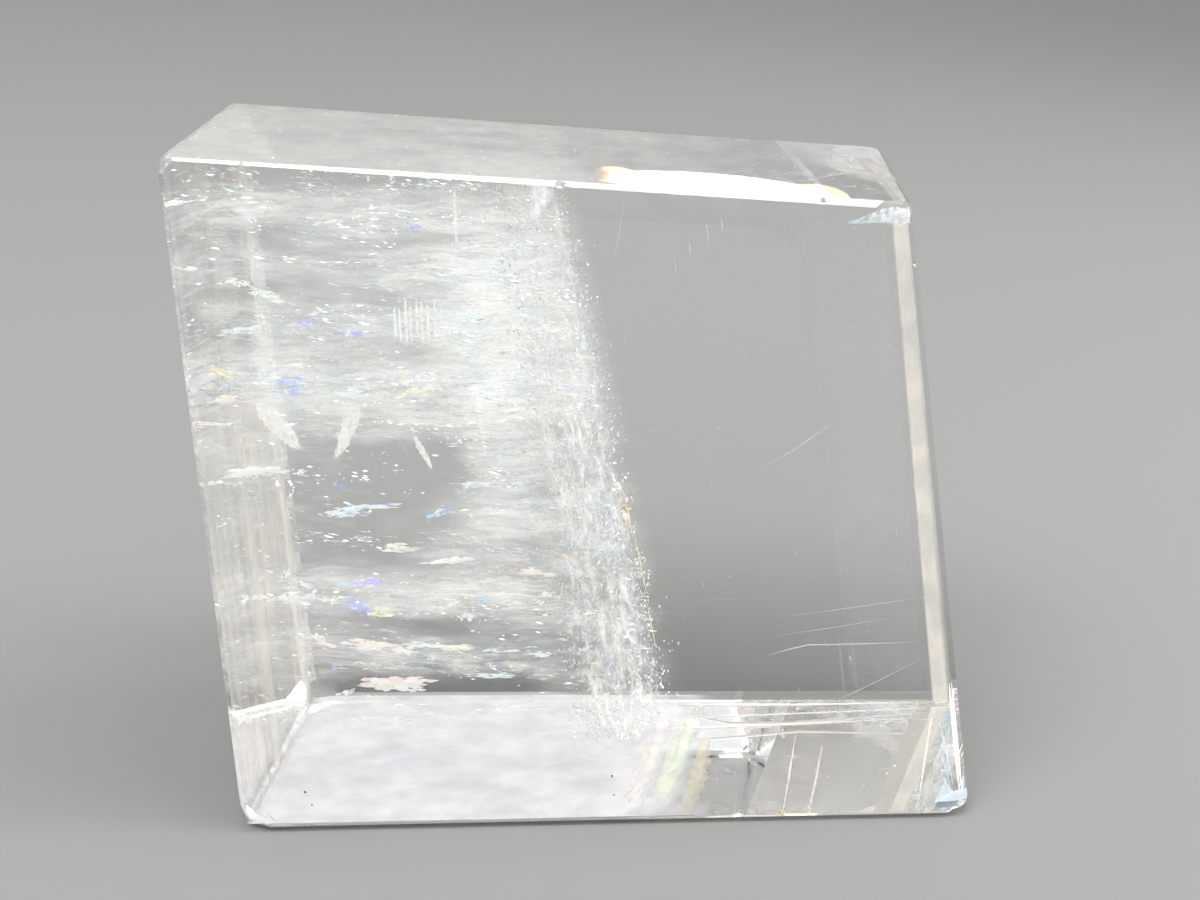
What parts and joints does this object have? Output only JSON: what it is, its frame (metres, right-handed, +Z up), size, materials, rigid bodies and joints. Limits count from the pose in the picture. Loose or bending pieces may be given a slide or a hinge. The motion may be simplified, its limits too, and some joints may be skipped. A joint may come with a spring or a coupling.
{
  "type": "calcite rhombohedron",
  "caption": "Clear hand-polished calcite rhombohedron, a leaning slab of parallelogram faces with bevelled edges, cloudy with cleavage veils on its left and clear on its right.",
  "frame": {"origin": "on the surface it rests on, below the middle of its bounding box, which is also below its centre of mass", "axes": "+X along the longest edges, from the cloudy end to the clear end; +Y from the front face to the back face; +Z up"},
  "size_m": [0.073, 0.0394, 0.0481],
  "materials": {
    "clear_calcite": "polished clear calcite, faintly scratched, with milky cleavage veils inside"
  },
  "bodies": {
    "root": {"calcite_crystal": "clear_calcite"}
  },
  "joints": []
}
